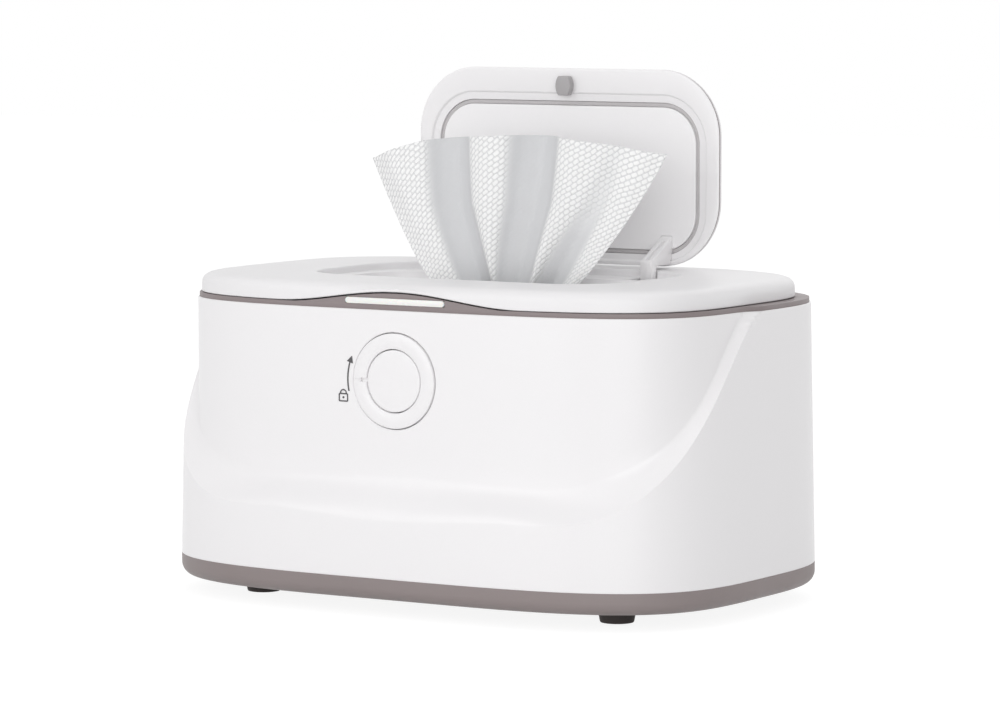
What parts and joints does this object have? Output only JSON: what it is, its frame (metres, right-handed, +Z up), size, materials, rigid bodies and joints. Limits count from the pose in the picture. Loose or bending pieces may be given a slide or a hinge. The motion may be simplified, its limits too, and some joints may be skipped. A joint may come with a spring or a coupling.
{
  "type": "baby wipe warmer",
  "caption": "Rounded white box warmer with a hinged lid, a dispensing flap, a push-button latch with a lock ring, a heated tub and a grey tray on feet.",
  "frame": {"origin": "centre of the footprint on the surface that the feet stand on", "axes": "+X to the warmer's right as seen from its front, +Y to its back, +Z up"},
  "size_m": [0.25, 0.1694, 0.211],
  "materials": {
    "white_plastic": "satin",
    "inner_plastic": "matte",
    "grey_plastic": "satin",
    "frame_plastic": "satin",
    "foot_rubber": "matte",
    "soft_rubber": "matte",
    "steel": "satin",
    "aluminium": "satin",
    "film": "satin",
    "insulation": "matte",
    "board": "satin",
    "dark_plastic": "satin",
    "wire": "satin",
    "light_plastic": "satin",
    "print": "matte",
    "wipe": "matte"
  },
  "bodies": {
    "base": {"outer_casing": "white_plastic", "base_cover": "grey_plastic", "rubber_feet": "foot_rubber", "base_screws": "steel", "top_frame": "frame_plastic", "frame_screws": "steel", "wipe_tub": "inner_plastic", "heater_plate": "aluminium", "heating_film": "film", "insulation_pad": "insulation", "heater_cover": "inner_plastic", "heater_screws": "steel", "thermostat": "dark_plastic", "temperature_sensor": "dark_plastic", "control_board": "board", "board_components": "dark_plastic", "board_screws": "steel", "dc_socket": "dark_plastic", "heater_leads": "wire", "sensor_leads": "wire", "light_leads": "wire", "light_bar": "light_plastic", "light_board": "board", "knob_housing": "grey_plastic", "housing_screws": "steel", "button_spring": "steel", "latch_pin": "steel", "latch_spring": "steel", "lock_symbols": "print", "lid_hinge_pins": "steel"},
    "lock_ring_body": {"lock_ring": "white_plastic"},
    "button_body": {"open_button": "white_plastic"},
    "latch_body": {"latch_lever": "inner_plastic"},
    "lid": {"lid_shell": "white_plastic", "lid_liner": "inner_plastic", "lid_gasket": "soft_rubber", "liner_screws": "steel", "lid_catch": "inner_plastic", "dispenser_ring": "inner_plastic", "flap_hinge_pins": "steel", "flap_keeper": "inner_plastic", "wipe_sheet": "wipe"},
    "flap": {"flap_shell": "white_plastic", "flap_panel": "inner_plastic", "flap_seal": "soft_rubber", "flap_catch": "grey_plastic", "flap_arms": "white_plastic"}
  },
  "joints": [
    {"name": "lid_hinge", "type": "hinge", "parent": "base", "child": "lid", "pos_m": [0, 0.0786, 0.1248], "axis": [-1, 0, 0], "range_deg": [0, 80]},
    {"name": "flap_hinge", "type": "hinge", "parent": "lid", "child": "flap", "pos_m": [0, 0.0494, 0.1216], "axis": [1, 0, 0], "range_deg": [0, 90], "deforming": ["wipe_sheet"]},
    {"name": "lock_turn", "type": "hinge", "parent": "base", "child": "lock_ring_body", "pos_m": [0, -0.074, 0.0921], "axis": [0, 1, 0], "range_deg": [0, 45]},
    {"name": "button_press", "type": "slide", "parent": "base", "child": "button_body", "axis": [0, 1, 0], "range_m": [0, 0.002], "stiffness_N_per_m": 400, "deforming": ["button_spring"]},
    {"name": "latch_turn", "type": "hinge", "parent": "base", "child": "latch_body", "pos_m": [0, -0.0571, 0.0681], "axis": [-1, 0, 0], "range_deg": [0, 4.8]}
  ],
  "couplings": [
    {"joint": "latch_turn", "follows": "button_press", "rad_per_m": 41.667}
  ]
}
